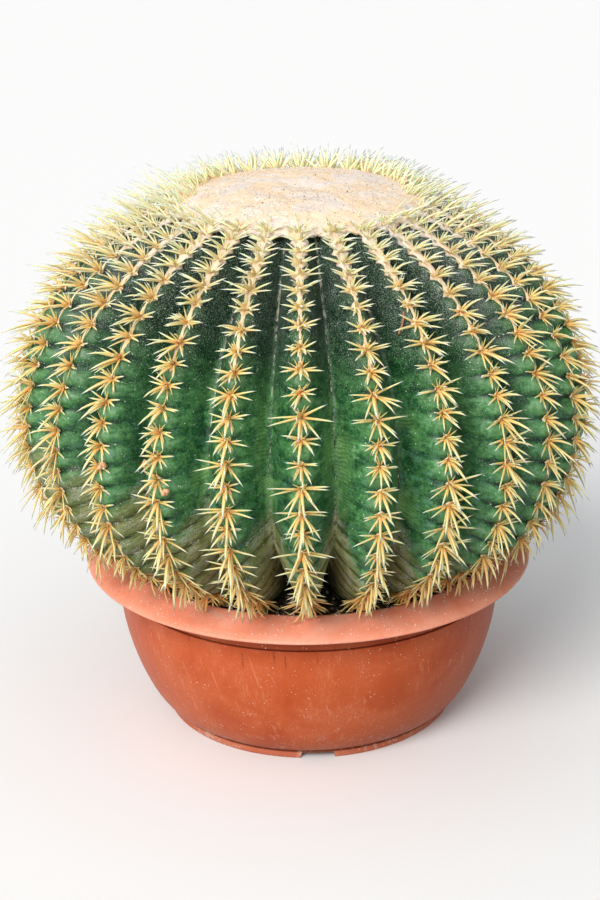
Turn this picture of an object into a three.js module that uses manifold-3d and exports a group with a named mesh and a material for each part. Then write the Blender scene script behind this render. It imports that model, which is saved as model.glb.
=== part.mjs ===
// A round barrel cactus growing in a terracotta-coloured bowl pot.
// Millimetres, +Z up. The origin is the middle of the foot ring's underside, and the front is -Y.
// Angles go round from the front towards +X.

import * as THREE from 'three';
import { mergeVertices } from 'three/addons/utils/BufferGeometryUtils.js';
import Module from 'manifold-3d';

const wasm = await Module();
wasm.setup();

// Driving dimensions of the whole
const GAP = 0.35;               // clear space where two pieces meet
const TURN_SEGMENTS = 40;       // sides of every turned piece
const DEG = Math.PI / 180;

// Pot
const LIP_RADIUS = 200;
const LIP_HEIGHT = 144.3;
const RIM_INNER_RADIUS = 167.6;
const RIM_HEIGHT = 157;
const RIM_THICKNESS = 3;
const NECK_RADIUS = 170.8;
const STEP_HEIGHT = 124.5;
const WALL_TOP = 129.5;
const FOOT_RADIUS = 130.7;
const FOOT_HEIGHT = 5.8;
const FOOT_WIDTH = 4.2;
const FLOOR_THICKNESS = 3.4;
const NOTCH_COUNT = 4;
const NOTCH_WIDTH = 30;
const NOTCH_ANGLE = 2.5;
const DRAIN_COUNT = 6;
const DRAIN_RADIUS = 6;
const DRAIN_CIRCLE = 82;

// Soil
const SOIL_HEIGHT = 149;
const SOCKET_RADIUS = 104.4;    // plain round hole that the plant's root ball stands in
const SOCKET_FLOOR = 110;

// Cactus body
const RIB_COUNT = 26;
const RIB_PITCH = 360 / RIB_COUNT;
const FRONT_RIB_ANGLE = -0.7;
const RIB_DRIFT = [0.2, 0.7, 0.4, 0, -0.5, -0.3];              // front rib, then those to its right
const RIB_DRIFT_LEFT = [0.3, 0.5, 0.7, 0.6, -1.2];            // those to its left
const EQUATOR_RADIUS = 244.7;
const EQUATOR_HEIGHT = 290;
const CROWN_RADIUS = 92;        // the ribs rise from the smooth crown here
const APEX_HEIGHT = 474;
const BASE_HEIGHT = SOIL_HEIGHT + GAP;
const BASE_RADIUS = 131;
const RIB_DEPTH = 36;
const BASE_RIB_DEPTH = 23;
const CREST_HALF = 0.07;        // half width of a rib's narrow flat crest, in rib pitches
const FLANK_HALF = 0.28;        // place of the fold in a rib's rounded flank
const BODY_ROWS = 16;
const BODY_OFFSET = -3.2;       // the plant stands a little to the left of the pot's axis
const ROOT_RADIUS = 103.7;
const ROOT_TOP = 158;

// Woolly crown
const WOOL_RADIUS = 113.5;
const WOOL_GROOVE_RADIUS = 107.5;
const WOOL_SEAT_RADIUS = 103;   // middle of the band where the wool lies on the ribs
const WOOL_EDGE_THICKNESS = 4.2;
const WOOL_LUMP = 1.6;
const WOOL_SPINE_LENGTH = 19;

// Spine rows
const ROW_START_RADIUS = 114.9;
const ROW_END = 0.955;          // where a row stops, as a share of the crest line
const STRIP_GAP = 0.45;
const TUFT_WIDTH = 3.2;         // the part of the strip that a tuft of spines rises from
const SPINE_LENGTH = 27;
const SPINE_ROOT = 1.4;
const POT_CLEARANCE = 1.6;

// The crest line of a rib, from the crown to the soil, as radius and height
const crestLine = new THREE.SplineCurve([
  new THREE.Vector2(CROWN_RADIUS, 469.3),
  new THREE.Vector2(120.5, 455.7),
  new THREE.Vector2(159.4, 433.5),
  new THREE.Vector2(200.9, 398.5),
  new THREE.Vector2(232, 350.4),
  new THREE.Vector2(EQUATOR_RADIUS, EQUATOR_HEIGHT),
  new THREE.Vector2(237.3, 240.7),
  new THREE.Vector2(217.1, 202.2),
  new THREE.Vector2(184, 177.3),
  new THREE.Vector2(157, 163),
  new THREE.Vector2(BASE_RADIUS, BASE_HEIGHT),
]);
crestLine.arcLengthDivisions = 600;

// Repeatable random numbers from 0 to 1
function randomSource(seed) {
  let state = seed;
  return () => {
    state = (state * 1664525 + 1013904223) % 4294967296;
    return state / 4294967296;
  };
}

const driftRandom = randomSource(11);
const ribAngles = Array.from({ length: RIB_COUNT }, (_, rib) => {
  const fromLeft = RIB_COUNT - rib;
  const hidden = (driftRandom() - 0.5) * 0.9;
  const drift = RIB_DRIFT[rib] ?? RIB_DRIFT_LEFT[fromLeft - 1] ?? hidden;
  return FRONT_RIB_ANGLE + rib * RIB_PITCH + drift;
});

// The angle of a point across a rib, from -0.5 in the left groove to 0.5 in the right one
function angleAcross(rib, across) {
  const here = ribAngles[rib];
  const next = (rib + (across < 0 ? RIB_COUNT - 1 : 1)) % RIB_COUNT;
  let span = Math.abs(ribAngles[next] - here);
  span = Math.min(span, 360 - span);
  return here + across * span;
}

// The plant leans: its axis is off to the left above, and over the pot's middle at the soil
function axisOffset(height) {
  return BODY_OFFSET * (1 - THREE.MathUtils.smoothstep(245 - height, 0, 95));
}

function placeAround(radius, height, angle) {
  return new THREE.Vector3(
    axisOffset(height) + radius * Math.sin(angle * DEG),
    -radius * Math.cos(angle * DEG),
    height,
  );
}

function ribDepth(radius, height) {
  if (height > EQUATOR_HEIGHT) {
    const inward = (EQUATOR_RADIUS - radius) / (EQUATOR_RADIUS - CROWN_RADIUS);
    return RIB_DEPTH * Math.max(0, 1 - inward * inward) ** 0.8;
  }
  const down = (EQUATOR_HEIGHT - height) / (EQUATOR_HEIGHT - BASE_HEIGHT);
  return RIB_DEPTH + (BASE_RIB_DEPTH - RIB_DEPTH) * down ** 3;
}

// Outward direction of the crest line, as radius and height
function crestNormal(along) {
  const tangent = crestLine.getTangentAt(along);
  return new THREE.Vector2(-tangent.y, tangent.x);
}

// A point of the body: along the crest line from 0 to 1, and across a rib
function bodyPoint(along, rib, across) {
  const crest = crestLine.getPointAt(along);
  const down = Math.max(0, (EQUATOR_HEIGHT - crest.y) / (EQUATOR_HEIGHT - BASE_HEIGHT));
  const outward = crestNormal(along).lerp(new THREE.Vector2(1, 0), down * down).normalize();
  const fold = Math.max(0, (2 * Math.abs(across) - 2 * CREST_HALF) / (1 - 2 * CREST_HALF));
  const sunk = ribDepth(crest.x, crest.y) * fold ** 1.35;
  return placeAround(
    crest.x - outward.x * sunk,
    crest.y - outward.y * sunk,
    angleAcross(rib, across),
  );
}

function geometryFrom(points, faces) {
  const geometry = new THREE.BufferGeometry();
  const positions = points.flatMap((point) => [point.x, point.y, point.z]);
  geometry.setAttribute('position', new THREE.Float32BufferAttribute(positions, 3));
  geometry.setIndex(faces.flat());
  return geometry;
}

// A closed skin through rings of points, with one point at each end
function skinOfRings(start, rings, end) {
  const points = [start, ...rings.flat(), end];
  const faces = [];
  const count = rings[0].length;
  const at = (ring, column) => 1 + ring * count + (column % count);
  for (let column = 0; column < count; column += 1) {
    faces.push([0, at(0, column), at(0, column + 1)]);
    for (let ring = 0; ring + 1 < rings.length; ring += 1) {
      faces.push([at(ring, column), at(ring + 1, column), at(ring + 1, column + 1)]);
      faces.push([at(ring, column), at(ring + 1, column + 1), at(ring, column + 1)]);
    }
    faces.push([at(rings.length - 1, column), points.length - 1, at(rings.length - 1, column + 1)]);
  }
  return geometryFrom(points, faces);
}

function centreOf(points) {
  return points.reduce((sum, point) => sum.add(point), new THREE.Vector3()).divideScalar(points.length);
}

function solidOf(geometry) {
  const bare = geometry.clone();
  bare.deleteAttribute('normal');
  bare.deleteAttribute('uv');
  const merged = mergeVertices(bare, 1e-4);
  return new wasm.Manifold(new wasm.Mesh({
    numProp: 3,
    vertProperties: new Float32Array(merged.attributes.position.array),
    triVerts: new Uint32Array(merged.index.array),
  }));
}

function geometryOf(solid) {
  const mesh = solid.getMesh();
  const geometry = new THREE.BufferGeometry();
  geometry.setAttribute('position', new THREE.BufferAttribute(mesh.vertProperties.slice(), 3));
  geometry.setIndex(new THREE.BufferAttribute(mesh.triVerts.slice(), 1));
  geometry.computeVertexNormals();
  return geometry;
}

// A profile of radius and height pairs, turned about the vertical axis from the bottom middle
// outwards, up and back to the middle
function turned(profile, segments = TURN_SEGMENTS) {
  const points = profile.map(([radius, height]) => new THREE.Vector2(radius, height));
  return new THREE.LatheGeometry(points, segments).rotateX(Math.PI / 2);
}

function makePot() {
  const floorTop = FOOT_HEIGHT + FLOOR_THICKNESS;
  const outside = [
    [0, FOOT_HEIGHT],
    [FOOT_RADIUS - FOOT_WIDTH, FOOT_HEIGHT],
    [FOOT_RADIUS - FOOT_WIDTH, 0],
    [FOOT_RADIUS, 0],
    [FOOT_RADIUS, FOOT_HEIGHT - 0.3],
    [FOOT_RADIUS - 1.2, FOOT_HEIGHT + 0.8],
    [139, 14],
    [149.5, 30],
    [161, 58],
    [169.2, 90],
    [172.2, STEP_HEIGHT - 1],
    [NECK_RADIUS, STEP_HEIGHT],
    [NECK_RADIUS, 150],
    [LIP_RADIUS - 1.6, LIP_HEIGHT - 1.2],
    [LIP_RADIUS, LIP_HEIGHT],
    [195, 149.4],
    [183, 154],
    [RIM_INNER_RADIUS + 2.6, RIM_HEIGHT],
    [RIM_INNER_RADIUS, RIM_HEIGHT - RIM_THICKNESS],
  ];
  const pot = solidOf(turned([...outside, ...potInside(), [0, floorTop]]));
  return geometryOf(pot.subtract(wasm.Manifold.union([...footNotches(), ...drainHoles()])));
}

// The inside of the bowl, from below the rim down to the edge of the floor
function potInside() {
  return [
    [RIM_INNER_RADIUS, WALL_TOP],
    [161.5, 72],
    [145, 31],
    [124, FOOT_HEIGHT + FLOOR_THICKNESS],
  ];
}

function footNotches() {
  const notches = [];
  for (let notch = 0; notch < NOTCH_COUNT; notch += 1) {
    const box = new THREE.BoxGeometry(NOTCH_WIDTH, 3 * FOOT_WIDTH, 2 * (FOOT_HEIGHT - 0.4));
    box.translate(0, -FOOT_RADIUS + FOOT_WIDTH / 2, 0);
    box.rotateZ((NOTCH_ANGLE + (notch * 360) / NOTCH_COUNT) * DEG);
    notches.push(solidOf(box));
  }
  return notches;
}

function drainHoles() {
  const holes = [];
  for (let hole = 0; hole <= DRAIN_COUNT; hole += 1) {
    const drill = new THREE.CylinderGeometry(DRAIN_RADIUS, DRAIN_RADIUS, 30, 12).rotateX(Math.PI / 2);
    const angle = (hole * 360 * DEG) / DRAIN_COUNT;
    const reach = hole < DRAIN_COUNT ? DRAIN_CIRCLE : 0;
    drill.translate(reach * Math.sin(angle), -reach * Math.cos(angle), 0);
    holes.push(solidOf(drill));
  }
  return holes;
}

function makeSoil() {
  const wall = potInside().reverse().map(([radius, height]) => [radius - GAP, height + GAP]);
  return turned([
    [0, wall[0][1]],
    ...wall,
    [RIM_INNER_RADIUS - GAP, SOIL_HEIGHT + 1.5],
    [152, SOIL_HEIGHT - 0.8],
    [140, SOIL_HEIGHT],
    [SOCKET_RADIUS, SOIL_HEIGHT],
    [SOCKET_RADIUS, SOCKET_FLOOR - GAP],
    [0, SOCKET_FLOOR - GAP],
  ]);
}

// The ribbed body with the root ball below it
function makeBody() {
  const across = [-0.5, -FLANK_HALF, -CREST_HALF, CREST_HALF, FLANK_HALF];
  const rings = [];
  for (let row = 0; row <= BODY_ROWS; row += 1) {
    rings.push(ribAngles.flatMap((_, rib) => across.map((place) => bodyPoint(row / BODY_ROWS, rib, place))));
  }
  const top = placeAround(0, APEX_HEIGHT, 0);
  const bottom = placeAround(0, BASE_HEIGHT, 0);
  const ribbed = solidOf(skinOfRings(top, rings, bottom));
  const root = solidOf(turned([
    [0, SOCKET_FLOOR],
    [ROOT_RADIUS - 16, SOCKET_FLOOR],
    [ROOT_RADIUS, SOCKET_FLOOR + 14],
    [ROOT_RADIUS, ROOT_TOP],
    [0, ROOT_TOP],
  ], 24));
  return geometryOf(ribbed.add(root));
}

// The height that a spine has to stay above, over the soil and the pot's rim
function groundUnder(radius) {
  if (radius > LIP_RADIUS + 4) return -Infinity;
  const outward = THREE.MathUtils.clamp((radius - 172) / (LIP_RADIUS - 172), 0, 1);
  return RIM_HEIGHT + (LIP_HEIGHT - RIM_HEIGHT) * outward ** 1.7 + POT_CLEARANCE;
}

// Directions at a place on the crest of a rib: out of the crest, down along it and to its right
function crestFrame(along, rib) {
  const angle = ribAngles[rib] * DEG;
  const radial = new THREE.Vector3(Math.sin(angle), -Math.cos(angle), 0);
  const upward = new THREE.Vector3(0, 0, 1);
  const normal = crestNormal(along);
  const tangent = crestLine.getTangentAt(along);
  return {
    out: radial.clone().multiplyScalar(normal.x).addScaledVector(upward, normal.y),
    down: radial.clone().multiplyScalar(tangent.x).addScaledVector(upward, tangent.y),
    right: new THREE.Vector3(Math.cos(angle), Math.sin(angle), 0),
    radial,
  };
}

// The felted strip under a row of spines: wide lobes of wool at the crown, narrow lower down
function stripSize(along) {
  const wool = Math.max(0, 1 - along / 0.17) ** 1.5;
  return { halfWidth: 3 + 4 * wool, height: 3 + 1.6 * wool };
}

// The three corners of the strip's section: right and left foot, and top
function stripSection(along, rib) {
  const crest = crestLine.getPointAt(along);
  const frame = crestFrame(along, rib);
  const size = stripSize(along);
  const foot = placeAround(crest.x, crest.y, ribAngles[rib]).addScaledVector(frame.out, STRIP_GAP);
  return [
    foot.clone().addScaledVector(frame.right, size.halfWidth),
    foot.clone().addScaledVector(frame.right, -size.halfWidth),
    foot.clone().addScaledVector(frame.out, size.height),
  ];
}

// Turns a spine's tip so that it keeps to its own rib's share of the space and above the pot
function bentClear(root, tip, frame) {
  const reach = tip.clone().sub(new THREE.Vector3(axisOffset(tip.z), 0, 0));
  const sideways = reach.dot(frame.right);
  const room = reach.dot(frame.radial) * Math.tan(0.47 * RIB_PITCH * DEG) - SPINE_ROOT;
  const spare = Math.max(0, Math.abs(sideways) - room);
  tip.addScaledVector(frame.right, -Math.sign(sideways) * spare);
  tip.addScaledVector(frame.out, 0.5 * spare);
  for (const share of [0.4, 0.6, 0.8, 1]) {
    const point = root.clone().lerp(tip, share);
    const low = groundUnder(Math.hypot(point.x, point.y)) - point.z;
    if (low > 0) tip.z += low / share;
  }
  return tip;
}

// The four spines of a tuft. Each rises from one triangle between two sections of the strip,
// and leans to the near side, down and out of the crest: on the plant's flank, and below it.
const TUFT = [
  { corners: ['topB', 'nearB', 'nearA'], side: [0.9, 0.25, 0.42], below: [0.9, -0.05, 0.42], share: 0.87 },
  { corners: ['topA', 'topB', 'nearA'], side: [0.42, -0.55, 0.75], below: [0.45, -0.75, 0.7], share: 0.78 },
  { corners: ['farA', 'farB', 'topA'], side: [-0.95, -0.15, 0.42], below: [-0.95, -0.6, 0.3], share: 0.85 },
  { corners: ['farB', 'topB', 'topA'], side: [-0.12, 0.68, 0.72], below: [-0.12, -0.8, 0.75], share: 1.14 },
];

function spineTip(root, spine, along, rib, hand, random) {
  const frame = crestFrame(along, rib);
  const young = THREE.MathUtils.clamp(1 - along / 0.22, 0, 1);
  const low = THREE.MathUtils.clamp((215 - crestLine.getPointAt(along).y) / 50, 0, 1);
  const [near, down, out] = spine.side.map((value, axis) => (
    THREE.MathUtils.lerp(value, spine.below[axis], low) + 0.2 * (random() - 0.5)
  ));
  const direction = new THREE.Vector3()
    .addScaledVector(frame.right, near * hand)
    .addScaledVector(frame.down, down - 0.2 * young)
    .addScaledVector(frame.out, out + 0.45 * young)
    .normalize();
  const shortening = (1 - 0.2 * young) * (1 - 0.4 * low);
  const length = SPINE_LENGTH * spine.share * shortening * (0.86 + 0.28 * random());
  return bentClear(root, root.clone().addScaledVector(direction, length), frame);
}

// A strip along one rib's crest, with a tuft of spines raised from it at each row of the body
function makeSpineRow(rib) {
  const random = randomSource(101 + 7 * rib);
  const hand = rib % 2 === 0 ? 1 : -1;
  const halfTuft = TUFT_WIDTH / 2 / crestLine.getLength();
  const places = [alongAtRadius(ROW_START_RADIUS)];
  for (let row = 1; row < BODY_ROWS; row += 1) {
    places.push(row / BODY_ROWS - halfTuft, row / BODY_ROWS + halfTuft);
  }
  places.push(ROW_END);
  const rings = places.map((along) => stripSection(along, rib));
  const points = rings.flat();
  const faces = [[0, 1, 2]];
  for (let ring = 0; ring + 1 < rings.length; ring += 1) {
    const [right, left, top] = [3 * ring, 3 * ring + 1, 3 * ring + 2];
    faces.push([right, right + 3, left + 3], [right, left + 3, left]);
    if (ring % 2 === 0) {
      faces.push([top, top + 3, right + 3], [top, right + 3, right]);
      faces.push([left, left + 3, top + 3], [left, top + 3, top]);
      continue;
    }
    const [near, far] = hand > 0 ? [right, left] : [left, right];
    const corner = { nearA: near, nearB: near + 3, farA: far, farB: far + 3, topA: top, topB: top + 3 };
    const lowest = ring + 3 === rings.length;
    for (const spine of TUFT) {
      const base = spine.corners.map((name) => corner[name]);
      if (hand < 0) base.reverse();
      if (lowest && spine.share > 1) {
        faces.push(base);             // no room over the soil for the longest spine
        continue;
      }
      const root = centreOf(base.map((index) => points[index]));
      const tip = spineTip(root, spine, places[ring] + halfTuft, rib, hand, random);
      base.forEach((from, side) => faces.push([from, base[(side + 1) % 3], points.length]));
      points.push(tip);
    }
  }
  const last = 3 * (rings.length - 1);
  faces.push([last + 2, last + 1, last]);
  const row = geometryFrom(points, faces);
  row.computeVertexNormals();
  return row;
}

// The share of the crest line, above the equator, at which it has a given radius
function alongAtRadius(radius) {
  let low = 0;
  let high = 0.4;
  for (let step = 0; step < 30; step += 1) {
    const middle = (low + high) / 2;
    if (crestLine.getPointAt(middle).x < radius) low = middle;
    else high = middle;
  }
  return low;
}

// One straight three-sided spine, with its thick end at the root
function spineSolid(root, direction, length, radius) {
  const cone = new THREE.ConeGeometry(radius, length, 3, 1).translate(0, length / 2, 0);
  cone.applyQuaternion(new THREE.Quaternion().setFromUnitVectors(new THREE.Vector3(0, 1, 0), direction));
  cone.translate(root.x, root.y, root.z);
  return solidOf(cone);
}

// The cushion of wool on the crown, scalloped between the ribs, with young spines standing in it
function makeWool() {
  const random = randomSource(5);
  const crestHeight = (radius) => crestLine.getPointAt(alongAtRadius(radius)).y;
  const edgeHeight = crestHeight(WOOL_RADIUS) + GAP;
  const grooveHeight = crestHeight(WOOL_GROOVE_RADIUS) + GAP;
  const columns = ribAngles.flatMap((_, rib) => [
    { angle: angleAcross(rib, -0.5), radius: WOOL_GROOVE_RADIUS, height: grooveHeight },
    { angle: angleAcross(rib, 0), radius: WOOL_RADIUS, height: edgeHeight },
  ]);
  const ring = (radius, height, lump = WOOL_LUMP) => columns.map((column) => (
    placeAround(radius, height + lump * (random() - 0.5), column.angle)
  ));
  const rings = [
    ring(28, 479),
    ring(58, 478.6),
    ring(82, 475.4),
    columns.map((column) => placeAround(column.radius - 3, column.height + WOOL_EDGE_THICKNESS, column.angle)),
    columns.map((column) => placeAround(column.radius, column.height, column.angle)),
    ring(WOOL_SEAT_RADIUS, crestHeight(WOOL_SEAT_RADIUS) + GAP, 0),
    ring(CROWN_RADIUS, crestHeight(CROWN_RADIUS) + GAP, 0),
  ];
  const cushion = skinOfRings(placeAround(0, 477, 0), rings, placeAround(0, APEX_HEIGHT + GAP, 0));
  const pieces = [solidOf(cushion)];
  for (let rib = 0; rib < RIB_COUNT; rib += 1) {
    for (const [radius, across, outward] of [[86, 0, 0.55], [72, 0.5, 0.1]]) {
      const angle = angleAcross(rib, across) + 3 * (random() - 0.5);
      const root = placeAround(radius, 472.8, angle);
      const lean = outward + 0.5 * (random() - 0.5);
      const direction = new THREE.Vector3(lean * Math.sin(angle * DEG), -lean * Math.cos(angle * DEG), 1);
      const length = WOOL_SPINE_LENGTH * (0.85 + 0.35 * random());
      pieces.push(spineSolid(root, direction.normalize(), length, 1.1));
    }
  }
  return geometryOf(wasm.Manifold.union(pieces));
}

function piece(name, geometry, color, roughness) {
  const material = new THREE.MeshStandardMaterial({ color, roughness, metalness: 0 });
  const mesh = new THREE.Mesh(geometry, material);
  mesh.name = name;
  return mesh;
}

const group = new THREE.Group();
group.add(piece('pot', makePot(), 0xcf6a40, 0.55));
group.add(piece('soil', makeSoil(), 0x3b3029, 0.95));
group.add(piece('cactus_body', makeBody(), 0x2f5638, 0.5));
group.add(piece('crown_wool', makeWool(), 0xeedcc2, 0.95));
for (let rib = 0; rib < RIB_COUNT; rib += 1) {
  const name = `spine_row_${String(rib + 1).padStart(2, '0')}`;
  group.add(piece(name, makeSpineRow(rib), 0xe6bd6c, 0.6));
}

export default group;
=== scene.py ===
"""The looks of a round barrel cactus in a terracotta-coloured bowl pot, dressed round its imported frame.

Lengths are in millimetres here and a mesh is scaled to metres when it is made. Angles are in degrees,
from the front (-Y) towards +X. The crest line, the rib angles and the pot's profile are those of the frame.
"""
import math

import bpy
import numpy as np
from mathutils import Matrix, Quaternion, Vector, noise as field


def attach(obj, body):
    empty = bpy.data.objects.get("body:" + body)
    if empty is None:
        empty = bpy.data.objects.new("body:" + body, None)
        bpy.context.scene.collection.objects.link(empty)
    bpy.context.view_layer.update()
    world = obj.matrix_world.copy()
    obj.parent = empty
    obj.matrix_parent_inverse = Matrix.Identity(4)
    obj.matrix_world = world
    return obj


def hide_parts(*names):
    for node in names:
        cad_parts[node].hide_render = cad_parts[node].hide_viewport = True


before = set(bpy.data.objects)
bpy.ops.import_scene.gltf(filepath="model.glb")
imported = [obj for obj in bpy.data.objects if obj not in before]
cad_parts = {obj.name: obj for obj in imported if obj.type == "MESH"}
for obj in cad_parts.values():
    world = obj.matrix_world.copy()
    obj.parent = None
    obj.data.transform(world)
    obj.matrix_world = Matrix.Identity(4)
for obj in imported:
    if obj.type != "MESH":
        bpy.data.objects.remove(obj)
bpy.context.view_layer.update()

MM = 0.001
RIGHT = np.array([1.0, 0.0, 0.0])
UP = np.array([0.0, 0.0, 1.0])
GAP = 0.35                      # clear space between the pieces of the frame

# Cactus body, as in the frame
CREST_LINE = np.array([
    (92, 469.3), (120.5, 455.7), (159.4, 433.5), (200.9, 398.5), (232, 350.4), (244.7, 290),
    (237.3, 240.7), (217.1, 202.2), (184, 177.3), (157, 163), (131, 149.35),
])
RIB_COUNT = 26
RIB_PITCH = 360 / RIB_COUNT
FRONT_RIB_ANGLE = -0.7
RIB_DRIFT = [0.2, 0.7, 0.4, 0, -0.5, -0.3]
RIB_DRIFT_LEFT = [0.3, 0.5, 0.7, 0.6, -1.2]
EQUATOR_RADIUS, EQUATOR_HEIGHT = 244.7, 290
CROWN_RADIUS, APEX_HEIGHT = 92, 474
BASE_HEIGHT = 149.35
RIB_DEPTH, BASE_RIB_DEPTH = 36, 23
CREST_HALF = 0.07
BODY_OFFSET = -3.2

# Finer forms of the body
BODY_ROWS = 232
HALF_COLUMNS = 7                # columns from a crest to a groove
SWELLING = 6.6                  # how far the crest bulges between two areoles
CREST_DIP = 0.45                # how much less the crest line itself bulges than the flanks beside it
SLANT = 8                       # how much higher a bulge ends in the groove than at the crest
CAVE_DEPTH = 24                 # how far the grooves draw back over the soil
CAVE_TOP, CAVE_FADE = 222, 46
ROOT_DEPTH = 6                  # how far the base goes into the soil's hole

# Areoles
FIRST_AREOLE_RADIUS = 106
LAST_AREOLE = 0.962             # as a share of the crest line
CROWN_SPACING, AREOLE_SPACING, SOIL_SPACING = 11.5, 18.4, 10.5
BAND_END = 0.36                 # the felt pads are joined into a band down to here

# Spines
THIN_WIDTH = 0.9                # below this a spine is thin and stays orange
SPINE_PLACES, SPINE_SIDES = 5, 6
SPINE_FLAT = 0.7                # a spine's depth over its width
SPINE_CEILING = 495

# Wool of the crown
WOOL_RINGS, WOOL_COLUMNS_A_RIB = 50, 10
WOOL_PROFILE = np.array([(0, 477), (28, 479), (58, 478.6), (82, 475.4)])
WOOL_APEX, WOOL_SHOULDER = 477, 82
WOOL_RADIUS, WOOL_GROOVE_RADIUS, WOOL_SEAT_RADIUS = 113.5, 107.5, 103
WOOL_HAIRS = 4600

# Pot, as in the frame
LIP_RADIUS, LIP_HEIGHT = 200, 144.3
RIM_INNER_RADIUS, RIM_HEIGHT, RIM_SLOPE_RADIUS = 167.6, 157, 172
FOOT_RADIUS = 130.7
NOTCH_COUNT, NOTCH_WIDTH, NOTCH_ANGLE, NOTCH_TOP = 4, 30, 2.5, 5.4
DRAIN_COUNT, DRAIN_RADIUS, DRAIN_CIRCLE, DRAIN_SIDES = 6, 6, 82, 28
RIM_FOOT = 140                  # above this the profile belongs to the rim

# Soil and litter
SOIL_HEIGHT = 149
SOIL_COLUMNS = 220
SOIL_WALL = np.array([(167.1, 147), (167.1, 129.9), (161.2, 72.4), (144.8, 31.4), (123.8, 9.6)])
SOIL_CRUMBS, RIM_CRUMBS, CROWN_CRUMBS = 1700, 640, 60

# The camera of the photograph, in metres
CAMERA_DISTANCE, CAMERA_ELEVATION, CAMERA_ROLL, CAMERA_LENS = 1.700, 20.76, -0.81, 76.2
CAMERA_AIM = Vector((-0.0063, 0, 0.238))

# Light
SUN_AZIMUTH, SUN_ELEVATION, SUN_SOFTNESS, SUN_STRENGTH = -27, 38, 30, 2.3
SKY_SIDE = Vector((-0.5, -0.55, 0.66)).normalized()
SKY_STRENGTH, SKY_DARK = 0.82, 0.13


def ease(value, low, high):
    share = np.clip((value - low) / (high - low), 0, 1)
    return share * share * (3 - 2 * share)


def bell(value, width):
    return np.exp(-((value / width) ** 2))


def unit(vectors):
    return vectors / np.maximum(np.linalg.norm(vectors, axis=-1, keepdims=True), 1e-9)


def spline(points, count):
    """A smooth curve through the points, as count places even in the points' own numbering."""
    points = np.asarray(points, float)
    last = len(points) - 1
    place = np.linspace(0, last, count)
    index = np.minimum(place.astype(int), last - 1)
    t = (place - index)[:, None]
    before, here = points[np.maximum(index - 1, 0)], points[index]
    there, after = points[index + 1], points[np.minimum(index + 2, last)]
    start, end = (there - before) / 2, (after - here) / 2
    return ((2 * here - 2 * there + start + end) * t**3
            + (3 * there - 3 * here - 2 * start - end) * t**2 + start * t + here)


def arc(start, corner, end, count):
    """Places on a curve that leaves its start towards a corner and comes to its end from there."""
    share = np.linspace(0, 1, count)[:, None]
    return (1 - share) ** 2 * start + 2 * share * (1 - share) * corner + share**2 * end


def lumps(points, scale, seed, depth=3):
    """Smooth noise at each point, with features about scale wide, from about -1 to 1."""
    shift = Vector((seed * 17.3, seed * 5.1, seed * 9.7))
    places = points.reshape(-1, 3).tolist()
    values = [field.fractal(Vector(place) / scale + shift, 0.8, 2.0, depth) for place in places]
    return np.array(values).reshape(points.shape[:-1])


# The crest line by length
crest_fine = spline(CREST_LINE, 6001)
crest_length = np.concatenate([[0], np.cumsum(np.linalg.norm(np.diff(crest_fine, axis=0), axis=1))])
CREST_LENGTH = crest_length[-1]


def crest_point(along):
    """Radius and height at a share of the crest line's length."""
    length = np.asarray(along) * CREST_LENGTH
    return tuple(np.interp(length, crest_length, crest_fine[:, axis]) for axis in (0, 1))


def crest_tangent(along):
    step = 0.0005
    start, end = crest_point(np.clip(along - step, 0, 1)), crest_point(np.clip(along + step, 0, 1))
    radius, height = end[0] - start[0], end[1] - start[1]
    size = np.hypot(radius, height)
    return radius / size, height / size


def along_at_radius(radius):
    upper = crest_fine[: np.argmax(crest_fine[:, 0])]
    return np.interp(radius, upper[:, 0], crest_length[: len(upper)]) / CREST_LENGTH


def rib_angles():
    """The angle of each rib. The hidden ones drift by the frame's own number series."""
    state, angles = 11, []
    for rib in range(RIB_COUNT):
        state = (state * 1664525 + 1013904223) % 4294967296
        drift = (state / 4294967296 - 0.5) * 0.9
        if rib < len(RIB_DRIFT):
            drift = RIB_DRIFT[rib]
        elif RIB_COUNT - rib <= len(RIB_DRIFT_LEFT):
            drift = RIB_DRIFT_LEFT[RIB_COUNT - rib - 1]
        angles.append(FRONT_RIB_ANGLE + rib * RIB_PITCH + drift)
    return np.array(angles)


RIB_ANGLES = rib_angles()


def angle_across(rib, across):
    """The angle of a place across a rib, from -0.5 in its left groove to 0.5 in its right one."""
    here = RIB_ANGLES[rib]
    there = RIB_ANGLES[(rib + np.where(across < 0, -1, 1)) % RIB_COUNT]
    span = np.abs(there - here)
    return here + across * np.minimum(span, 360 - span)


def turned(radius, height, turn):
    """Places round the pot's axis, with the turn in radians."""
    radius, height, turn = np.broadcast_arrays(radius, height, turn)
    return np.stack([radius * np.sin(turn), -radius * np.cos(turn), height], axis=-1)


def around(radius, height, angle):
    """Places round the plant's axis, which stands a little to the left of the pot's."""
    offset = BODY_OFFSET * (1 - ease(245 - height, 0, 95))
    return turned(radius, height, np.radians(angle)) + offset[..., None] * RIGHT


def compass(angle):
    """The directions outward and to the right at an angle round the plant."""
    turn = math.radians(angle)
    return np.array([math.sin(turn), -math.cos(turn), 0]), np.array([math.cos(turn), math.sin(turn), 0])


def areole_places():
    """The places of the areoles along each rib, as lengths from the top of its crest line."""
    rng = np.random.default_rng(3)
    start = along_at_radius(FIRST_AREOLE_RADIUS) * CREST_LENGTH
    ribs = []
    for _ in range(RIB_COUNT):
        length, places = start + 5 * rng.random(), []
        while length < LAST_AREOLE * CREST_LENGTH:
            places.append(length)
            spacing = CROWN_SPACING + (AREOLE_SPACING - CROWN_SPACING) * ease(length - start, 0, 95)
            spacing -= (AREOLE_SPACING - SOIL_SPACING) * ease(length / CREST_LENGTH, 0.84, 0.95)
            length += spacing * (1 + 0.16 * (rng.random() - 0.5))
        ribs.append(np.array(places))
    return ribs


AREOLES = areole_places()


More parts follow.
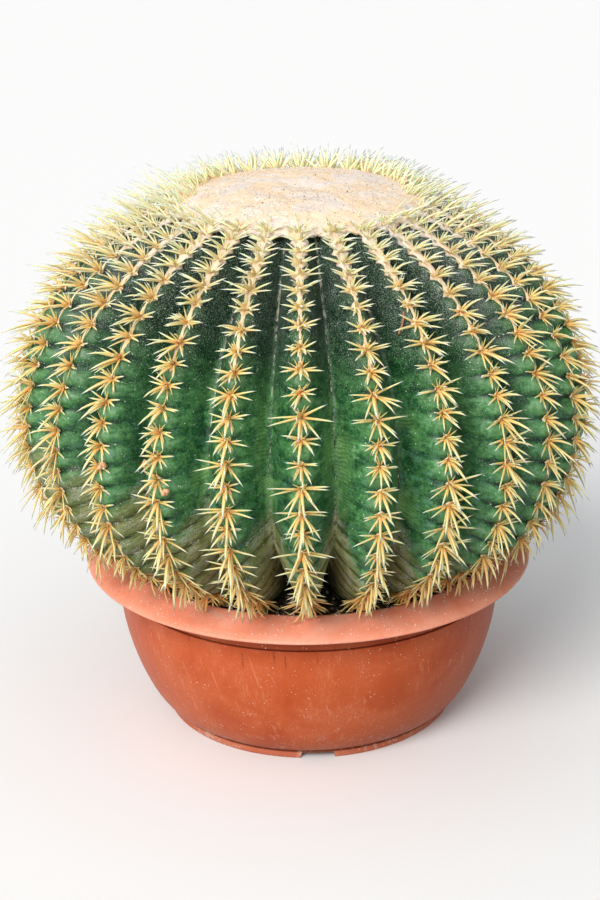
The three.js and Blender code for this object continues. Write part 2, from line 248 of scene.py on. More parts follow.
def swelling(rib, along, side):
    """0 level with an areole and 1 where the rib bulges between two, from its crest (0) to a groove (1)."""
    places = AREOLES[rib]
    ends = np.concatenate([[2 * places[0] - places[1]], places, [2 * places[-1] - places[-2]]])
    share = np.interp(along * CREST_LENGTH + SLANT * side, ends, np.arange(len(ends)))
    return np.sin(np.pi * (share % 1) ** 0.86) ** 0.65


def raised(rib, along, side, reach):
    """How far the skin stands out from the plain crest line, or sinks, where reach is its share."""
    share = (0.4 + 0.6 * ease(along, 0.02, 0.2)) * (1 - 0.35 * ease(along, 0.72, 0.9))
    return SWELLING * (swelling(rib, along, side) - 0.5) * reach * share


def below_equator(height):
    return np.maximum(0, EQUATOR_HEIGHT - height) / (EQUATOR_HEIGHT - BASE_HEIGHT)


def rib_depth(radius, height):
    inward = (EQUATOR_RADIUS - radius) / (EQUATOR_RADIUS - CROWN_RADIUS)
    above = RIB_DEPTH * np.maximum(0, 1 - inward * inward) ** 0.8
    below = RIB_DEPTH + (BASE_RIB_DEPTH - RIB_DEPTH) * below_equator(height) ** 3
    return np.where(height > EQUATOR_HEIGHT, above, below)


def body_point(along, rib, across):
    """A point of the body, along the crest line from 0 to 1 and across one rib."""
    radius, height = crest_point(along)
    tangent = crest_tangent(along)
    lean = below_equator(height) ** 2
    out_r = -tangent[1] * (1 - lean) + lean
    out_z = tangent[0] * (1 - lean)
    size = np.hypot(out_r, out_z)
    side = 2 * np.abs(across)
    fold = np.maximum(0, (side - 2 * CREST_HALF) / (1 - 2 * CREST_HALF))
    sunk = rib_depth(radius, height) * fold**1.35
    sunk = sunk + CAVE_DEPTH * (1 - ease(height, CAVE_TOP - CAVE_FADE, CAVE_TOP)) * fold**2.6
    reach = 0.74 * bell(side, 0.36) + 0.22 * (1 - side * side) - CREST_DIP * bell(side, 0.12)
    reach = reach + 0.2 * (1 - ease(height, 190, 260)) * ease(side, 0.1, 0.5) * (1 - side**4)
    out = raised(rib, along, side, reach) - sunk
    return around(radius + out_r / size * out, height + out_z / size * out, angle_across(rib, across))


def crest_frame(rib, along):
    """The place on a crest and the directions right, down along it and out of it."""
    radius, height = crest_point(along)
    tangent = crest_tangent(along)
    radial, right = compass(RIB_ANGLES[rib])
    down = radial * tangent[0] + UP * tangent[1]
    out = radial * -tangent[1] + UP * tangent[0]
    place = around(radius, height, RIB_ANGLES[rib])
    return place + out * raised(rib, along, 0, 1 - CREST_DIP), right, down, out


def add_object(name, data):
    thing = bpy.data.objects.new(name, data)
    bpy.context.scene.collection.objects.link(thing)
    return thing


def grid_faces(rows, columns):
    """Faces between rings of points, each ring closed on itself."""
    row, column = np.meshgrid(np.arange(rows - 1), np.arange(columns), indexing="ij")
    here, beside = row * columns + column, row * columns + (column + 1) % columns
    return np.stack([here, here + columns, beside + columns, beside], axis=-1).reshape(-1, 4)


def fan_faces(middle, ring, flip=False):
    """Triangles from one point to a closed ring of points."""
    order = [np.full(len(ring), middle), ring, np.roll(ring, -1)]
    return np.stack(order[::-1] if flip else order, axis=-1)


def bent_paths(root, direction, length, pull, places):
    """Paths that leave along a direction and are pulled aside by the square of the way along."""
    share = np.linspace(0, 1, places)[None, :, None]
    length = np.reshape(length, (-1, 1, 1))
    return root[:, None] + direction[:, None] * length * share + pull[:, None] * length * share**2


class Skin:
    """Points, faces and values at the points, gathered part by part for one mesh."""

    def __init__(self, *names):
        self.points, self.faces, self.count = [], [], 0
        self.values = {name: [] for name in names}

    def add(self, points, faces, **values):
        points = np.asarray(points, float).reshape(-1, 3)
        for group in faces:
            self.faces.extend((np.asarray(group) + self.count).tolist())
        self.points.append(points)
        self.count += len(points)
        for name, parts in self.values.items():
            value = np.asarray(values.get(name, 0.0), float)
            parts.append(np.broadcast_to(value.reshape(-1) if value.ndim else value, (len(points),)))

    def add_rings(self, rings, ends, flip=False, **values):
        """Rings that close on a middle point before the first and after the last, where a table is 0."""
        rows, columns = rings.shape[:2]
        first, count = np.arange(columns), rows * columns
        faces = [
            grid_faces(rows, columns)[:, ::-1 if flip else 1],
            fan_faces(count, first, flip),
            fan_faces(count + 1, count - columns + first, not flip),
        ]
        for name, value in values.items():
            if np.ndim(value):
                values[name] = np.append(np.broadcast_to(value, (rows, columns)), [0, 0])
        self.add(np.concatenate([rings.reshape(-1, 3), ends]), faces, **values)

    def add_parts(self, parts, faces, **values):
        """Many parts with the faces of the first. A value is one number, one for each part, or a table."""
        count, size = parts.shape[:2]
        start = (np.arange(count) * size)[:, None, None]
        for name, value in values.items():
            table = np.asarray(value)[:, None] if np.ndim(value) == 1 else value
            values[name] = np.broadcast_to(table, (count, size))
        self.add(parts, [(group + start).reshape(-1, group.shape[1]) for group in faces], **values)

    def add_tubes(self, paths, widths, facing, sides, flat=1.0, end=1.0, **values):
        """Tapered tubes, pointed at the far end, whose broad side looks the way of facing.

        paths is (count, places, 3) and widths (count or 1, places). Their share runs from 0 to end.
        """
        count, places = paths.shape[:2]
        tangent = unit(np.gradient(paths, axis=1))
        side = unit(np.cross(tangent, facing))
        front = np.cross(side, tangent)
        turn = (2 * np.pi * np.arange(sides) / sides + np.pi / 2)[:, None]
        ring = side[:, :, None] * np.cos(turn) + flat * front[:, :, None] * np.sin(turn)
        body = paths[:, :-1, None] + ring[:, :-1] * np.asarray(widths)[:, :-1, None, None]
        parts = np.concatenate([body.reshape(count, -1, 3), paths[:, -1:]], axis=1)
        corners = np.arange(sides)
        last = (places - 2) * sides
        faces = [grid_faces(places - 1, sides), fan_faces(last + sides, last + corners, True), corners[None]]
        share = np.append(np.repeat(np.linspace(0, end, places)[:-1], sides), end)
        self.add_parts(parts, faces, share=share[None], **values)

    def mesh(self, name):
        mesh = bpy.data.meshes.new(name)
        mesh.from_pydata((np.concatenate(self.points) * MM).tolist(), [], self.faces)
        for key, parts in self.values.items():
            layer = mesh.attributes.new(key, "FLOAT", "POINT")
            layer.data.foreach_set("value", np.concatenate(parts).astype(np.float32))
        return mesh

    def make(self, name, material, slot, *nodes):
        mesh = self.mesh(name)
        mesh.shade_smooth()
        mesh.update()
        mesh.materials.append(material)
        piece = add_object(name, mesh)
        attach(piece, "root")
        if nodes:
            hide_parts(*nodes)
        return piece


def linear(red, green, blue):
    """A colour from its 0 to 255 screen values."""
    channels = np.array([red, green, blue]) / 255
    low, high = channels / 12.92, ((channels + 0.055) / 1.055) ** 2.4
    return (*np.where(channels <= 0.04045, low, high).tolist(), 1.0)


class Nodes:
    """A node tree, built output by output."""

    def __init__(self, tree):
        self.tree = tree

    def put(self, socket, value):
        if isinstance(value, bpy.types.NodeSocket):
            self.tree.links.new(value, socket)
        elif value is not None:
            socket.default_value = value

    def node(self, kind, inputs=(), output=0, **settings):
        """One output of a new node."""
        node = self.tree.nodes.new("ShaderNode" + kind)
        for name, value in settings.items():
            setattr(node, name, value)
        for key, value in dict(inputs).items():
            self.put(node.inputs[key], value)
        return node.outputs[output]

    def math(self, operation, a, b=0.0, clamp=False):
        return self.node("Math", {0: a, 1: b}, operation=operation, use_clamp=clamp)

    def times(self, *factors):
        """The product of values and of steps, given as (value, low, high)."""
        result, *others = [self.step(*factor) if isinstance(factor, tuple) else factor for factor in factors]
        for factor in others:
            result = self.math("MULTIPLY", result, factor)
        return result

    def total(self, start, *terms):
        """A start plus each term's value times its weight."""
        for value, weight in terms:
            start = self.node("Math", {0: value, 1: weight, 2: start}, operation="MULTIPLY_ADD")
        return start

    def step(self, value, low, high, **ends):
        """0 below low and 1 above high, or the other way round, eased between."""
        inputs = {"Value": value, "From Min": low, "From Max": high}
        inputs.update({"To " + end.title(): value for end, value in ends.items()})
        return self.node("MapRange", inputs, interpolation_type="SMOOTHSTEP")


class Shade(Nodes):
    """A procedural material, painted coat by coat. Its sizes and heights are in millimetres."""

    def __init__(self, name, **settings):
        self.material = bpy.data.materials.new(name)
        self.material.use_nodes = True
        super().__init__(self.material.node_tree)
        self.tree.nodes.clear()
        self.shader = self.tree.nodes.new("ShaderNodeBsdfPrincipled")
        output = self.tree.nodes.new("ShaderNodeOutputMaterial")
        self.put(output.inputs["Surface"], self.shader.outputs[0])
        self.place = self.node("TexCoord", output="Object")
        self.sideways = self.node("SeparateXYZ", {0: self.place}, "X")
        self.height = self.math("MULTIPLY", self.node("SeparateXYZ", {0: self.place}, "Z"), 1 / MM)
        self.paint = None
        self.finish(**settings)

    def tools(self):
        """The methods that every material calls."""
        return self.step, self.times, self.total, self.noise, self.ramp, self.coat

    def finish(self, **settings):
        for name, value in settings.items():
            self.put(self.shader.inputs[name.replace("_", " ")], value)

    def painted(self, **settings):
        self.finish(Base_Color=self.paint, **settings)
        return self.material

    def attributes(self, *names):
        return [self.node("Attribute", output="Fac", attribute_name=name) for name in names]

    def vector(self, operation, vector, other, output=0):
        return self.node("VectorMath", {0: vector, 1: other}, output, operation=operation)

    def noise(self, size, detail=2.0, roughness=0.5, stretch=None, vector=None, warp=0.0):
        """Noise from 0 to 1 with features about size wide, and narrower the more an axis is stretched."""
        vector = vector or self.place
        if stretch:
            vector = self.vector("MULTIPLY", vector, stretch)
        inputs = {"Vector": vector, "Scale": 1 / MM / size, "Detail": detail, "Roughness": roughness}
        return self.node("TexNoise", {**inputs, "Distortion": warp}, "Fac")

    def cells(self, size):
        """The distance from the middle of scattered cells."""
        return self.node("TexVoronoi", {"Scale": 1 / MM / size, "Vector": self.place}, "Distance")

    def waves(self, length, period):
        """0 once in every period and 1 half-way between."""
        return self.math("ABSOLUTE", self.math("SINE", self.times(length, math.pi / period)))

    def mix(self, share, a, b, blend="MIX"):
        return self.node("Mix", {0: self.times(share), 6: a, 7: b}, 2, data_type="RGBA", blend_type=blend)

    def coat(self, color, *factors):
        """Lays a colour, in screen values, over the paint so far as thick as the factors' product."""
        self.paint = self.mix(self.times(*factors), self.paint, linear(*color))

    def ramp(self, value, *stops):
        """Colours along a value, each stop a place from 0 to 1 and then screen values."""
        color = self.node("ValToRGB", {0: value})
        elements = color.node.color_ramp.elements
        while len(elements) < len(stops):
            elements.new(0.5)
        for element, (place, *shade) in zip(elements, stops):
            element.position, element.color = place, linear(*shade)
        return color

    def bump(self, height, distance, strength):
        """A bump whose height of 1 stands distance proud."""
        return self.node("Bump", {"Height": height, "Distance": distance * MM, "Strength": strength})


def skin_material():
    shade = Shade("cactus_skin", Specular_IOR_Level=0.34)
    step, times, total, noise, ramp, coat = shade.tools()
    across, bulge, length = shade.attributes("across", "bulge", "length")
    height, sideways = shade.height, shade.sideways
    broad = noise(30, 4, 0.6, warp=0.5)
    blotch = noise(8, 5, 0.7, warp=0.7)
    flank = noise(6.5, 3, stretch=(0.5, 0.5, 1.6), warp=0.4)
    upright = noise(3.0, 3, stretch=(1.6, 1.6, 0.2))
    upper = step(height, 320, 445)
    from_middle = shade.math("ABSOLUTE", sideways)
    beside, central = step(from_middle, 0.07, 0.17), step(from_middle, 0.17, 0.07)

    # Green, paler on the knobs between areoles and darker in the notches beside them: partly the skin's own
    # tint, partly painted highlight and painted shade
    # Painted highlight on the knobs by the crest and painted shade in the notches between them, stronger on
    # the side ribs
    knob_tint_and_painted_light = times(shade.math("SUBTRACT", bulge, 0.62), (across, 0.8, 0.05))
    tone = total(
        -0.09, (blotch, 0.4), (flank, 0.26), (upright, 0.08), (upper, -0.02), (broad, 0.26),
        (knob_tint_and_painted_light, total(0.2, (beside, 0.22))), (noise(2.4, 3, 0.7), 0.22),
    )
    shade.paint = ramp(
        tone, (0.36, 9, 38, 21), (0.48, 34, 86, 46), (0.59, 80, 138, 78), (0.74, 146, 192, 146),
    )
    smudge = noise(10, 5, 0.75, stretch=(1.0, 1.0, 1.5))
    coat((88, 142, 116), (smudge, 0.5, 0.64), (height, 380, 270), 0.6)
    coat((9, 31, 23), (total(height, (broad, 70.0)), 375, 450), 0.88)
    # Painted shade in the grooves of the side ribs, over the upper part of the body
    coat((12, 40, 24), (across, 0.3, 0.85), beside, (height, 250, 300), 0.72)
    # Fresher green on the bulges beside the crest, partly a painted highlight where the knobs catch the light
    coat((106, 156, 92), (across, 0.42, 0.12), (bulge, 0.5, 1.0), (height, 450, 400), 0.3)

    # Fine wrinkles in the front grooves, and painted shade in the pinched creases between the knobs of the
    # side ribs
    inner = times((across, 0.5, 0.95), (broad, 0.42, 0.6), (height, 380, 320), central)
    coat((104, 148, 76), inner, 0.5)
    wave = total(length, (across, 10.0), (broad, 16.0))
    coat((150, 190, 124), inner, (shade.waves(wave, 3.6), 0.4, 0.9), 0.4)
    # Painted shade in the notches between the knobs of the side ribs
    coat((12, 42, 20), (bulge, 0.42, 0.08), (across, 0.75, 0.3), beside, (blotch, 0.3, 0.5), 0.6)
    green = shade.paint

    # Old skin widens from the grooves down to the soil, in ridges with dark creases between
    leftward = shade.math("MAXIMUM", shade.math("MINIMUM", sideways, 0.0), -0.07)
    slope = total(-76.0, (leftward, -600.0))
    spread = total(height, (sideways, 240.0), (broad, 44.0), (leftward, 280.0), (across, slope))
    old = step(spread, 225, 201)
    ridge = total(0.0, (flank, 0.25), (blotch, 0.6), (bulge, 0.2))
    shade.paint = ramp(ridge, (0.34, 62, 66, 30), (0.5, 118, 122, 66), (0.7, 176, 176, 124))
    coat((78, 116, 58), (broad, 0.56, 0.44), (across, 0.8, 0.25), 0.5)
    shade.paint = shade.mix(times(old, 0.94), green, shade.paint)
    line = times((shade.waves(wave, 4.6), 0.4, 0.05), (blotch, 0.4, 0.56), (across, 0.1, 0.5), 0.45)
    crease = times((bulge, 0.5, 0.12), (blotch, 0.3, 0.46))
    line = times(shade.math("MAXIMUM", line, crease), (spread, 232, 208))
    coat((36, 40, 20), line, 0.75)
    coat((72, 52, 30), (height, 206, 170), (across, 0.5, 0.92), 0.85)

    # Dust: thick under the wool and thin elsewhere
    grain = noise(0.8, 1.0)
    cloud = noise(14, 3, 0.65)
    speck = step(total(0.01, (cloud, 0.2), (upper, 0.115), (grain, 1.0)), 0.775, 0.82)
    coat((170, 190, 170), speck, 0.55)
    coat((228, 232, 216), (shade.cells(5.6), 0.11, 0.075), (blotch, 0.42, 0.52), 0.85)

    # A dotted line down each groove, with a pale scar above it
    dots = noise(8.0, 5, 0.8)
    wide = total(across, (noise(9), 0.016))
    seam = times((wide, 0.991, 0.999), (height, 216, 226), (noise(22, 3), 0.4, 0.52))
    coat((22, 26, 16), seam, (dots, 0.52, 0.48), 0.8)
    coat((230, 220, 190), seam, (dots, 0.52, 0.56), 0.9)
    coat((184, 176, 158), (wide, 0.93, 0.975), (blotch, 0.5, 0.56), (height, 375, 410), 0.8)
    coat((200, 200, 188), (cloud, 0.5, 0.6), (spread, 236, 208), (grain, 0.46, 0.58), 0.7)
    dull = shade.math("ADD", old, speck, clamp=True)
    relief = total(0.0, (grain, 0.12), (flank, 0.7), (blotch, 0.35), (line, -0.9))
    return shade.painted(
        Roughness=total(0.27, (dull, 0.3), (cloud, 0.2)), Normal=shade.bump(relief, 1.2, 0.8),
    )


def spine_material():
    """Orange at the root, golden, and pale at the tip. Young ones are greener and old ones duller."""
    shade = Shade("spine_horn", Specular_IOR_Level=0.5, Subsurface_Weight=0.75)
    shade.finish(Subsurface_Radius=(1.0, 0.6, 0.3), Subsurface_Scale=0.002)
    total, noise, ramp = shade.total, shade.noise, shade.ramp
    share, age, tone = shade.attributes("share", "age", "tone")
    golden = ramp(
        share, (0.0, 255, 194, 128), (0.14, 255, 201, 126), (0.36, 255, 214, 138),
        (0.66, 255, 231, 172), (1.0, 255, 247, 222),
    )
    young = ramp(share, (0.0, 252, 222, 176), (0.3, 244, 236, 186), (1.0, 253, 252, 228))
    old = ramp(share, (0.0, 204, 132, 68), (0.4, 234, 184, 106), (1.0, 246, 216, 152))
    color = shade.mix((age, 0.68, 0.9), shade.mix((age, 0.37, 0.02), golden, young), old)
    streak = noise(2.2, 3)
    tint = total(0.9, (tone, 0.12), (streak, 0.1))
    tint = shade.node("CombineXYZ", {0: tint, 1: tint, 2: shade.math("POWER", tint, 1.25)})
    shade.paint = shade.mix(1.0, color, tint, "MULTIPLY")
    return shade.painted(Roughness=total(0.4, (streak, 0.2)), Normal=shade.bump(streak, 0.25, 0.5))


def felt_material():
    """The wool of the crown and the areoles: cream, tan with age, flecked with grit."""
    shade = Shade("wool_felt", Roughness=0.95, Specular_IOR_Level=0.1, Sheen_Weight=0.2, Sheen_Roughness=0.5)
    step, times, total, noise, ramp, coat = shade.tools()
    age, tone = shade.attributes("age", "tone")
    cloud = noise(30, 3, warp=0.6)
    fibre = noise(1.5, 3, 0.7)
    cream = ramp(
        cloud, (0.36, 238, 224, 214), (0.46, 245, 229, 212), (0.56, 249, 220, 184), (0.7, 243, 229, 214),
    )
    tan = ramp(fibre, (0.3, 255, 210, 158), (0.5, 255, 227, 184), (0.7, 255, 240, 212))
    shade.paint = shade.mix((age, 0.08, 0.26), cream, tan)
    coat((146, 104, 60), (age, 0.78, 0.95))
    coat((170, 134, 100), (fibre, 0.46, 0.26), 0.3)
    coat((150, 118, 98), (noise(38, 3), 0.52, 0.68), (fibre, 0.55, 0.35), (age, 0.1, 0.0), 0.4)
    fleck = times((shade.cells(8.5), 0.12, 0.07), (age, 0.12, 0.04))
    coat((92, 66, 48), fleck, 0.75)
    from_hollow = shade.vector("DISTANCE", shade.place, (-0.004, -0.034, 0.478), "Value")
    middle = step(total(from_hollow, (noise(20, 3), 0.06)), 0.085, 0.055)
    coat((110, 78, 58), (shade.cells(3.0), 0.3, 0.22), (cloud, 0.44, 0.54), middle, 0.7)
    coat((244, 232, 208), tone, 0.25)
    relief = total(0.0, (noise(5, 3), 0.8), (fibre, 0.4), (fleck, -0.5))
    return shade.painted(Normal=shade.bump(relief, 0.9, 0.6))


def pot_material():
    """Weathered plastic: a brown wall and a paler rim, with dust, drips, scratches and lime, painted shade
    under the lip and above the foot, and painted light on the rim's inner top edge.
    """
    shade = Shade("pot_plastic", Specular_IOR_Level=0.25)
    step, times, total, noise, ramp, coat = shade.tools()
    height, (wear,) = shade.height, shade.attributes("wear")
    cloud = noise(60, 4, 0.55, warp=0.6)
    fine = noise(3, 3, 0.6)
    streak = noise(4, 3, 0.55, stretch=(1.0, 1.0, 0.04))
    rough = noise(9, 4, 0.75)
    tone = total(0.0, (cloud, 0.92), (streak, 0.08))
    wall = ramp(tone, (0.36, 194, 82, 38), (0.5, 206, 94, 48), (0.64, 212, 104, 60))
    rim = ramp(tone, (0.36, 244, 146, 114), (0.5, 250, 158, 128), (0.64, 252, 172, 146))
    shade.paint = shade.mix((height, 141.5, 144.5), wall, rim)

    # The step under the rim, with painted shade under the lip and in the step, and the foot, with painted
    # shade in the crevice above its ring
    # Painted shade under the lip, down to the step
    coat((104, 40, 18), (height, 123.9, 124.6), (height, 146, 142), 0.25)
    # Painted shade line in the step's crevice
    coat((56, 20, 10), (height, 123.5, 124.0), (height, 124.9, 124.5), 0.65)
    coat((206, 150, 126), (height, 26, 4), (cloud, 0.4, 0.62), 0.3)
    ring = step(height, 6.2, 4.6)
    coat((186, 118, 96), ring, 0.45)
    # Painted shade line in the crevice above the foot ring
    coat((74, 30, 16), (height, 9.0, 7.2), (height, 5.0, 6.2), 0.8)

    # Pale drips, dark stains, a worn edge at the lip, painted light on the rim's inner top edge, grains, soot
    # and dust
    coat((232, 150, 112), (streak, 0.6, 0.64), (cloud, 0.46, 0.56), (height, 122, 104), 0.22)
    coat((118, 48, 22), (streak, 0.37, 0.33), (height, 76, 122), (height, 124, 123), 0.5)
    # Paler at the worn lip, and painted light on the rim's inner top edge, which the plant shades
    coat((250, 190, 162), wear, (fine, 0.3, 0.6), 0.3)
    grains = step(total(shade.cells(3.4), (noise(5), 0.5)), 0.4, 0.34)
    patch = step(noise(20, 4, 0.75), 0.46, 0.56)
    coat((250, 228, 212), grains, patch, 0.85)
    coat((70, 36, 22), (shade.cells(6.1), 0.085, 0.06), (patch, 0.6, 0.2), 0.7)
    coat((250, 214, 190), (noise(0.9, 1.0), 0.6, 0.7), (cloud, 0.36, 0.6), 0.22)

    # Slanting scratches, and lime at the foot and the top edge
    lean = shade.node("VectorRotate", {0: shade.place, "Angle": 0.3}, rotation_type="Y_AXIS")
    scratch = step(noise(3.2, stretch=(1.0, 1.0, 0.03), vector=lean, warp=0.5), 0.6, 0.66)
    scratch = times(scratch, (noise(34), 0.52, 0.6), (height, 126, 110))
    coat((240, 160, 122), scratch, 0.3)
    edges = shade.math("MAXIMUM", step(height, 42, 8), times((height, 152, 156.5), 1.4))
    crust = times(edges, (rough, 0.54, 0.66))
    coat((226, 190, 172), crust, 0.5)
    relief = total(0.0, (scratch, -0.4), (fine, 0.25))
    return shade.painted(
        Roughness=total(0.36, (crust, 0.3), (ring, 0.2), (cloud, 0.16)), Normal=shade.bump(relief, 0.3, 0.5),
    )


def soil_material():
    shade = Shade("potting_soil", Roughness=0.95, Specular_IOR_Level=0.2)
    ramp, (tone,) = shade.ramp, shade.attributes("tone")
    crumb = shade.noise(3.5, 4, 0.7)
    dark = ramp(crumb, (0.36, 46, 36, 28), (0.52, 88, 72, 56), (0.64, 160, 142, 120))
    pale = ramp(crumb, (0.3, 180, 172, 160), (0.7, 236, 232, 224))
    bark = ramp(crumb, (0.3, 62, 40, 26), (0.7, 118, 84, 56))
    shade.paint = shade.mix((tone, 0.8, 0.9), shade.mix((tone, 0.3, 0.4), dark, bark), pale)
    return shade.painted(Normal=shade.bump(crumb, 1.6, 0.9))


def litter_material():
    shade = Shade("litter", Roughness=0.85)
    ramp, (tone,) = shade.ramp, shade.attributes("tone")
    fine = shade.noise(1.4, 3)
    bark = ramp(fine, (0.3, 140, 88, 64), (0.7, 206, 156, 124))
    bud = ramp(fine, (0.3, 214, 150, 100), (0.7, 250, 208, 164))
    shade.paint = shade.mix((tone, 0.3, 0.4), bark, bud)
    shade.coat((250, 238, 226), (tone, 0.8, 0.9))
    return shade.painted(Normal=shade.bump(fine, 0.6, 0.6))


SKIN, HORN, FELT = skin_material(), spine_material(), felt_material()
PLASTIC, SOIL, LITTER = pot_material(), soil_material(), litter_material()


def make_body():
    half = 0.5 * (np.arange(1, HALF_COLUMNS + 1) / HALF_COLUMNS) ** 1.15
    across = np.concatenate([-half[::-1], [0], half[:-1]])
    side = 2 * np.abs(across)
    along = np.linspace(0, 1, BODY_ROWS)
    ribs = range(RIB_COUNT)
    rings = np.concatenate([body_point(along[:, None], rib, across) for rib in ribs], axis=1)
    bulge = np.concatenate([swelling(rib, along[:, None], side) for rib in ribs], axis=1)
    base = rings[-1:] * 0.97
    base[..., 2] = BASE_HEIGHT - ROOT_DEPTH
    rings = np.concatenate([rings, base])
    outward = unit(rings - np.array([BODY_OFFSET, 0, EQUATOR_HEIGHT]))
    fade = ease(rings[..., 2], 150, 170)
    rings = rings + outward * (0.9 * fade * lumps(rings, 26, 1))[..., None]
    ends = [around(0, APEX_HEIGHT, 0), around(0, BASE_HEIGHT - ROOT_DEPTH, 0)]
    body = Skin("across", "bulge", "length")
    length, bulge = np.append(along, 1.0)[:, None] * CREST_LENGTH, np.concatenate([bulge, bulge[-1:]])
    body.add_rings(rings, ends, across=np.tile(side, RIB_COUNT), bulge=bulge, length=length)
    body.make("cactus_skin", SKIN, "skin", "cactus_body")


# One areole's spines: right, down and out of the crest, length and half width for a full-grown one, and
# how much the spine bends down along its length. The side and thin ones are made on both sides.
SIDE_SPINES = [
    (0.94, -0.24, 0.30, 23, 1.15, 0.03),
    (0.97, 0.08, 0.27, 23, 1.2, 0.05),
    (0.58, 0.66, 0.52, 22, 1.25, 0.09),
]
THIN_SPINES = [
    (0.26, -0.80, 0.60, 10, 0.78, -0.05),
    (0.76, 0.36, 0.60, 10, 0.82, 0.5),
    (0.60, -0.54, 0.60, 11, 0.76, 0.0),
]
CENTRAL_SPINES = [
    (0.06, 0.50, 0.86, 26, 1.75, 0.28),
    (-0.34, 0.22, 0.90, 25, 1.5, 0.40),
    (0.30, -0.10, 0.95, 24, 1.4, 0.36),
    (0.10, -0.45, 0.90, 17, 1.25, 0.30),
    (-0.14, 0.80, 0.62, 22, 1.4, 0.12),
]


def ground(radius):
    """The height that a spine keeps above, over the soil and the pot's rim."""
    outward = np.clip((radius - RIM_SLOPE_RADIUS) / (LIP_RADIUS - RIM_SLOPE_RADIUS), 0, 1)
    rim = RIM_HEIGHT + (LIP_HEIGHT - RIM_HEIGHT) * outward**1.7 + 1.6
    height = np.where(radius < RIM_INNER_RADIUS - 3, SOIL_HEIGHT + 2.5, rim)
    return np.where(radius > LIP_RADIUS + 3, -1000.0, height)


def areole_spines(rib, along, rng):
    """Right, down, out, length, half width and bend of each spine of one areole."""
    young = np.clip(1 - along / 0.34, 0, 1)
    low = ease(along, 0.86, 0.95)
    full = rng.random() < 0.45
    vigour = (1.0 if full else 0.62) * (0.92 + 0.16 * rng.random())
    vigour = vigour + (0.92 - vigour) * max(young, low)
    spines = []

    def add(hand, share, right, down, out, length, *rest):
        spines.append((hand * right, down, out, length * share, *rest))

    for hand in (-1, 1):
        for spine in SIDE_SPINES:
            add(hand, vigour * (1 - 0.28 * young), *spine)
        for spine in THIN_SPINES:
            if rng.random() < 0.85 - 0.35 * young:
                add(hand, 1, *spine)
    hand = rng.choice([-1, 1])
    count = 1 if young > 0.7 else 2 if young > 0.5 else 5 if full or low > 0.3 else 4
    for spine in CENTRAL_SPINES[:count]:
        add(hand, 0.45 + 0.55 * vigour, *spine)
    if low > 0.3:
        for _ in range(6):
            right, out = rng.uniform(-0.9, 0.9), rng.uniform(0.1, 0.7)
            spines.append((right, 0.7, out, rng.uniform(10, 19), rng.uniform(0.7, 1.1), 0.2))
    spines = np.array(spines)
    spines[:, :3] += rng.normal(0, 0.11, (len(spines), 3))
    right, down, out, length, width, bend = spines.T  # each can be changed in place
    down -= 0.26 * young * (down > -0.3)
    out += 0.4 * young
    sunny = max(0.0, -math.sin(math.radians(RIB_ANGLES[rib]))) * ease(along, 0.62, 0.4)
    length *= (1 + 0.2 * sunny) * rng.uniform(0.82, 1.14, len(spines))
    width *= rng.uniform(0.88, 1.12, len(spines))
    length *= (1 + 0.3 * sunny * young) * (1 - 0.22 * low)
    right *= 1 - 0.5 * low
    bend += 0.05 * low + 0.3 * young * rng.random(len(spines))
    return spines


def spine_taper(places):
    taper = (1 - np.linspace(0, 1, places)) ** 0.42
    taper[0] = 1.1
    return taper


def add_spines(row, rib, along, rng):
    place, right, down, out = crest_frame(rib, along)
    spines = areole_spines(rib, along, rng)
    low = ease(along, 0.82, 0.93)
    column = (len(spines), 1)
    direction = unit(spines[:, :3] @ np.stack([right, down, out]))
    root = place + out * 1.4 + direction * 1.2 + rng.normal(0, 0.7, column) * down
    pull = down * spines[:, 5:] + right * rng.normal(0, 0.06 + 0.26 * low, column)
    pull = pull + out * rng.normal(0, 0.03 + 0.14 * low, column)
    tone = rng.random(len(spines))
    thin = spines[:, 4] < THIN_WIDTH
    kinds = (~thin, SPINE_PLACES, SPINE_SIDES, 1.0), (thin, SPINE_PLACES - 1, SPINE_SIDES - 2, 0.5)
    for own, places, sides, end in kinds:
        if own.any():
            path = bent_paths(root[own], direction[own], spines[own, 3], pull[own], places)
            path[..., 2] = np.maximum(path[..., 2], ground(np.hypot(path[..., 0], path[..., 1])) + 0.6)
            widths = spines[own, 4:5] * spine_taper(places)
            row.add_tubes(path, widths, out, sides, SPINE_FLAT, end, tone=tone[own], age=along)


def add_hairs(skin, root, direction, length, curl, widths, facing, age, rng):
    """Short wool hairs that curl any way."""
    swirl = unit(rng.normal(0, 1, root.shape))
    path = bent_paths(root, direction, length, swirl * curl, 3)
    skin.add_tubes(path, [widths], facing, 3, tone=rng.random(len(root)), age=age)


def add_fibres(row, rib, along, rng, count, spread):
    """Short wool hairs round an areole."""
    place, right, down, out = crest_frame(rib, along)
    turn = rng.uniform(0, 2 * np.pi, (count, 1))
    lean = rng.uniform(0.2, 1.0, (count, 1))
    flat = np.cos(turn) * right + np.sin(turn) * down
    root = place + flat * spread * np.sqrt(rng.random((count, 1))) + out * 0.8
    direction = unit(flat * lean + out * 0.8)
    length = rng.uniform(1.6, 3.6, count)
    add_hairs(row, root, direction, length, 0.35, [0.34, 0.24, 0], out, along, rng)


